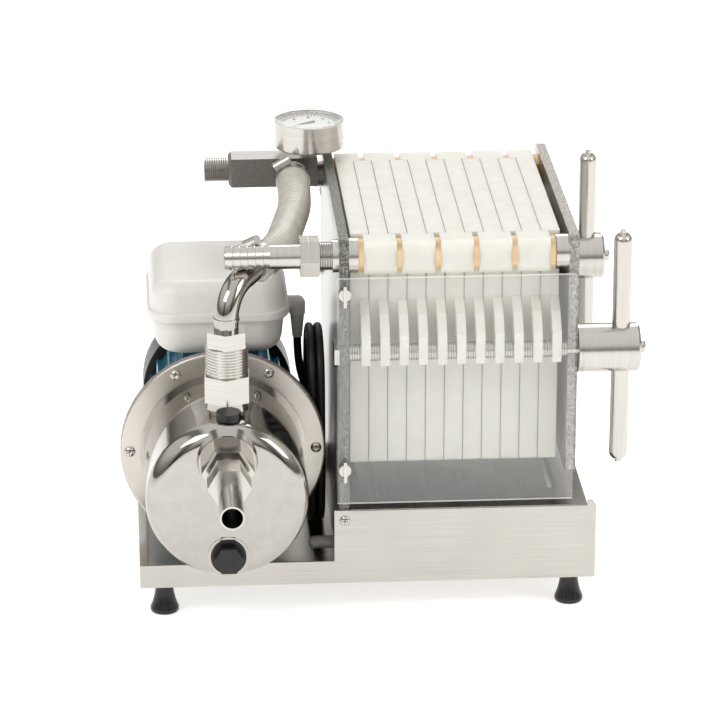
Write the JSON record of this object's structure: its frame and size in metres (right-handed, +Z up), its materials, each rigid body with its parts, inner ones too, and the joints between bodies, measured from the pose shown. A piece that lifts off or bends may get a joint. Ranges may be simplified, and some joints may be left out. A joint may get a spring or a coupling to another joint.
{
  "type": "plate filter press with pump",
  "caption": "Bench-top plate filter press: grooved white filter plates clamped between steel end plates on tie rods, fed by a self-priming electric pump, with gauge, drip tray and clear guards.",
  "frame": {"origin": "centre of the bounding box at the bench, under the rubber feet", "axes": "+X along the tie rods from the pump to the clamp handles, +Y from the operator to the back, +Z up"},
  "size_m": [0.4309, 0.4474, 0.3596],
  "materials": {
    "turned_steel": "turned stainless steel",
    "sheet_steel": "brushed sheet stainless steel",
    "grey_rubber": "moulded grey rubber",
    "white_plastic": "moulded white plastic",
    "black_plastic": "moulded black plastic",
    "clear_hose": "clear PVC with a spiral",
    "white_polypropylene": "moulded natural polypropylene",
    "plate_steel": "cut and brushed stainless plate",
    "clear_acrylic": "clear cast acrylic",
    "blue_enamel": "blue enamel on cast aluminium",
    "amber_silicone": "moulded silicone",
    "polished_steel": "polished stainless steel",
    "black_rubber": "moulded black rubber"
  },
  "bodies": {
    "frame": {"back_panel": "sheet_steel", "base_pan": "sheet_steel", "capped_drain_stub": "grey_rubber", "control_box": "white_plastic", "control_box_lid": "white_plastic", "cord_hank": "black_plastic", "drip_tray": "sheet_steel", "fan_cowl": "black_plastic", "feed_hose": "clear_hose", "filter_plate_01": "white_polypropylene", "filter_plate_02": "white_polypropylene", "filter_plate_03": "white_polypropylene", "filter_plate_04": "white_polypropylene", "filter_plate_05": "white_polypropylene", "filter_plate_06": "white_polypropylene", "filter_plate_07": "white_polypropylene", "filter_plate_08": "white_polypropylene", "filter_plate_09": "white_polypropylene", "filter_plate_10": "white_polypropylene", "filter_plate_11": "white_polypropylene", "fixed_end_plate": "plate_steel", "front_guard": "clear_acrylic", "front_panel": "sheet_steel", "gauge_case": "turned_steel", "gauge_lens": "clear_acrylic", "guard_wing_screws": "turned_steel", "hose_clamps": "sheet_steel", "inlet_coupling": "turned_steel", "manifold_block": "plate_steel", "motor_body": "blue_enamel", "outlet_bush": "turned_steel", "outlet_hose_tail": "turned_steel", "port_gaskets": "amber_silicone", "power_cord": "black_plastic", "power_plug": "black_plastic", "pump_casing": "polished_steel", "pump_elbow": "polished_steel", "pump_flange": "plate_steel", "pump_outlet_union": "turned_steel", "pump_plugs": "black_plastic", "rear_guard": "clear_acrylic", "rubber_feet": "black_rubber", "suction_hose_tail": "turned_steel", "tie_rods": "turned_steel"},
    "press_plate": {"press_end_plate": "plate_steel", "blind_bush": "turned_steel"},
    "front_handle": {"front_clamp_nut": "turned_steel", "front_handle_bars": "turned_steel"},
    "back_handle": {"back_clamp_nut": "turned_steel", "back_handle_bars": "turned_steel"}
  },
  "joints": [
    {"name": "press_slide", "type": "slide", "parent": "frame", "child": "press_plate", "axis": [1, 0, 0], "range_m": [0, 0.025]},
    {"name": "front_handle_turn", "type": "hinge", "parent": "press_plate", "child": "front_handle", "pos_m": [0.18475, -0.04675, 0.2245], "axis": [1, 0, 0], "continuous": true},
    {"name": "back_handle_turn", "type": "hinge", "parent": "press_plate", "child": "back_handle", "pos_m": [0.18475, 0.18825, 0.2245], "axis": [1, 0, 0], "continuous": true}
  ]
}
